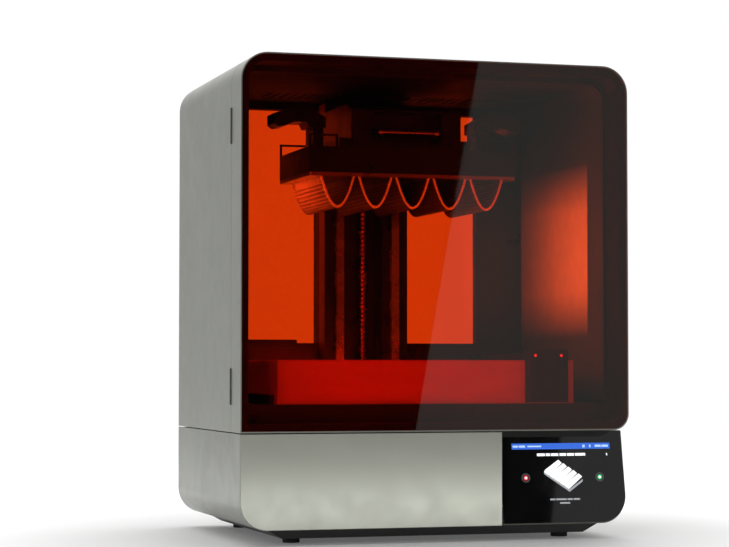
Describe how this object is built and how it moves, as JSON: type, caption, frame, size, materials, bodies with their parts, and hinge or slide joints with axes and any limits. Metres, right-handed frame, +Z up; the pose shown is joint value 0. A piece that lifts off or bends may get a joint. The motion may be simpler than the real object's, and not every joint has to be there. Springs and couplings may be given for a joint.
{
  "type": "resin printer",
  "caption": "Large-format resin printer with a hinged amber door, vertical platform axis, lift-out tank with a mixer, and a base with a leaning touchscreen.",
  "frame": {"origin": "on the ground under the middle of the bounding box", "axes": "+Z up, -Y towards the user in front of the door, +X to the user's right"},
  "size_m": [0.6684, 0.528, 0.785],
  "materials": {
    "painted_shell": "satin metallic sage grey",
    "amber_glass": "polished, ultraviolet-blocking amber",
    "amber_tank": "clear amber moulding",
    "black_plastic": "fine spark-eroded texture",
    "black_metal": "black powder coat",
    "screen_gloss": "polished cover glass",
    "steel": "ground",
    "aluminium": "anodised",
    "dark_aluminium": "dark anodised",
    "bronze": "machined",
    "rubber": "matt",
    "circuit_board": "solder mask",
    "display": "polished",
    "film": "clear film",
    "resin_print": "cured resin, faintly layered",
    "cartridge_grey": "moulded",
    "connector": "moulded"
  },
  "bodies": {
    "housing": {"base_wrap": "painted_shell", "base_front_panel": "painted_shell", "screen_glass": "screen_gloss", "display_module": "display", "base_rear_panel": "painted_shell", "power_inlet": "connector", "port_block": "steel", "fan_frames": "black_plastic", "under_tray": "black_metal", "power_supply": "aluminium", "mainboard": "circuit_board", "enclosure_wrap": "painted_shell", "rear_panel": "painted_shell", "rear_windows": "amber_glass", "chamber_back": "black_metal", "chamber_liner": "black_metal", "front_frame": "black_metal", "chamber_deck": "black_metal", "lcd_panel": "display", "light_unit_housing": "dark_aluminium", "led_board": "aluminium", "frame_hinge_leaves": "steel", "hinge_pins": "steel", "z_tower": "dark_aluminium", "z_rails": "steel", "rail_screws": "steel", "screw_bearings": "dark_aluminium", "z_motor": "black_metal", "rear_housing": "black_plastic", "chamber_heater": "aluminium", "rear_screws": "steel"},
    "door": {"door_frame": "painted_shell", "door_glass": "amber_glass", "door_inner_frame": "black_plastic", "door_seal": "rubber", "door_handle": "black_plastic", "door_hinge_leaves": "steel"},
    "carriage": {"bearing_blocks": "steel", "carriage_plate": "dark_aluminium", "screw_nut": "bronze", "carrier_head": "dark_aluminium"},
    "screw": {"lead_screw": "steel"},
    "release_lever": {"clamp_lever": "steel"},
    "platform": {"build_platform": "dark_aluminium", "build_face": "aluminium", "platform_lugs": "dark_aluminium", "printed_models": "resin_print"},
    "tank": {"tank_frame": "amber_tank", "tank_film": "film"},
    "mixer": {"mixer_arm": "black_plastic", "mixer_blade": "rubber"},
    "switch": {"power_switch": "black_plastic"},
    "fan_left": {"fan_rotor_left": "black_plastic"},
    "fan_right": {"fan_rotor_right": "black_plastic"},
    "cartridge_a": {"cartridge_left": "cartridge_grey"},
    "cartridge_b": {"cartridge_right": "cartridge_grey"},
    "foot_fl": {"foot_front_left": "rubber"},
    "foot_fr": {"foot_front_right": "rubber"},
    "foot_rl": {"foot_rear_left": "rubber"},
    "foot_rr": {"foot_rear_right": "rubber"}
  },
  "joints": [
    {"name": "door_hinge", "type": "hinge", "parent": "housing", "child": "door", "pos_m": [-0.332, -0.199, 0.46], "axis": [0, 0, -1], "range_deg": [0, 110]},
    {"name": "z_slide", "type": "slide", "parent": "housing", "child": "carriage", "axis": [0, 0, 1], "range_m": [-0.288, 0]},
    {"name": "screw_spin", "type": "hinge", "parent": "housing", "child": "screw", "pos_m": [0, 0.173, 0.4], "axis": [0, 0, 1], "range_deg": [-12970, 10]},
    {"name": "lever_hinge", "type": "hinge", "parent": "carriage", "child": "release_lever", "pos_m": [0, -0.07, 0.684], "axis": [-1, 0, 0], "range_deg": [0, 70]},
    {"name": "platform_slide", "type": "slide", "parent": "carriage", "child": "platform", "axis": [0, -1, 0], "range_m": [0, 0.12]},
    {"name": "tank_lift", "type": "slide", "parent": "housing", "child": "tank", "axis": [0, 0, 1], "range_m": [0, 0.03]},
    {"name": "mixer_slide", "type": "slide", "parent": "tank", "child": "mixer", "axis": [1, 0, 0], "range_m": [-0.41, 0]},
    {"name": "switch_rock", "type": "hinge", "parent": "housing", "child": "switch", "pos_m": [-0.196, 0.20595, 0.084], "axis": [1, 0, 0], "range_deg": [0, 12]},
    {"name": "fan_left_spin", "type": "hinge", "parent": "housing", "child": "fan_left", "pos_m": [0.21, 0.19, 0.102], "axis": [0, 1, 0], "continuous": true},
    {"name": "fan_right_spin", "type": "hinge", "parent": "housing", "child": "fan_right", "pos_m": [0.09, 0.19, 0.102], "axis": [0, 1, 0], "continuous": true},
    {"name": "cartridge_a_lift", "type": "slide", "parent": "housing", "child": "cartridge_a", "axis": [0, 0, 1], "range_m": [0, 0.13]},
    {"name": "cartridge_b_lift", "type": "slide", "parent": "housing", "child": "cartridge_b", "axis": [0, 0, 1], "range_m": [0, 0.13]},
    {"name": "foot_fl_level", "type": "slide", "parent": "housing", "child": "foot_fl", "axis": [0, 0, -1], "range_m": [0, 0.006]},
    {"name": "foot_fr_level", "type": "slide", "parent": "housing", "child": "foot_fr", "axis": [0, 0, -1], "range_m": [0, 0.006]},
    {"name": "foot_rl_level", "type": "slide", "parent": "housing", "child": "foot_rl", "axis": [0, 0, -1], "range_m": [0, 0.006]},
    {"name": "foot_rr_level", "type": "slide", "parent": "housing", "child": "foot_rr", "axis": [0, 0, -1], "range_m": [0, 0.006]}
  ],
  "couplings": [
    {"joint": "screw_spin", "follows": "z_slide", "rad_per_m": 785.4}
  ]
}
